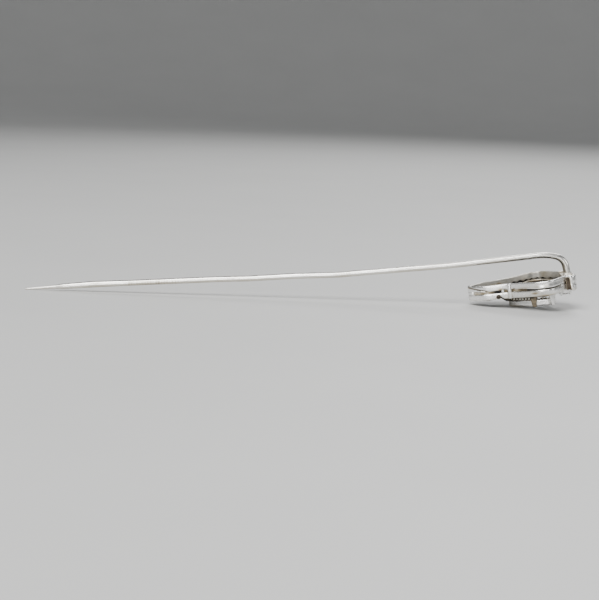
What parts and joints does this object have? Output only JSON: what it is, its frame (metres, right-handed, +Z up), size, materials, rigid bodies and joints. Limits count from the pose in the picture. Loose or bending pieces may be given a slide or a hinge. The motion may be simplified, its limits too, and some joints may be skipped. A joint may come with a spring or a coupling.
{
  "type": "stick pin",
  "caption": "Straight kinked wire pin with a ground point, bent over and soldered to a leaf-shaped double-rail head set with clear stones, lying face down.",
  "frame": {"origin": "centre of the resting pin's bounding box, on the floor it lies on", "axes": "+X runs along the pin from its point to the head, +Z is up (the back of the head), the face looks down"},
  "size_m": [0.0666, 0.0094, 0.0066],
  "materials": {
    "wire": "drawn silver wire, hand worn, faintly yellow",
    "solder": "dull silver solder",
    "rail": "polished silver with warm tarnish in the recesses",
    "silver": "polished silver",
    "deck": "dark toned silver",
    "gallery": "silver, toned dark between the posts",
    "paste": "clear faceted paste"
  },
  "bodies": {
    "root": {"stem": "wire", "stem_solder": "solder", "crest_plate": "silver", "rear_rail": "rail", "front_rail": "rail", "waist_post_left": "silver", "waist_post_right": "silver", "waist_spacer_left": "silver", "waist_spacer_right": "silver", "waist_bead_left": "silver", "waist_bead_right": "silver", "corner_block_left": "silver", "corner_block_right": "silver", "point_post": "silver", "deck": "deck", "shoulder_stones": "paste", "shoulder_grains": "silver", "centre_base": "gallery", "gallery_posts": "gallery", "centre_bezel": "silver", "centre_stone": "paste", "point_tongue": "silver", "side_claw_left": "silver", "side_claw_right": "silver", "end_claw_left": "silver", "end_claw_right": "silver", "crest_setting": "silver", "crest_claws": "silver", "crest_stone": "paste", "lobe_setting": "silver", "lobe_stone": "paste", "point_stone": "paste"}
  },
  "joints": []
}
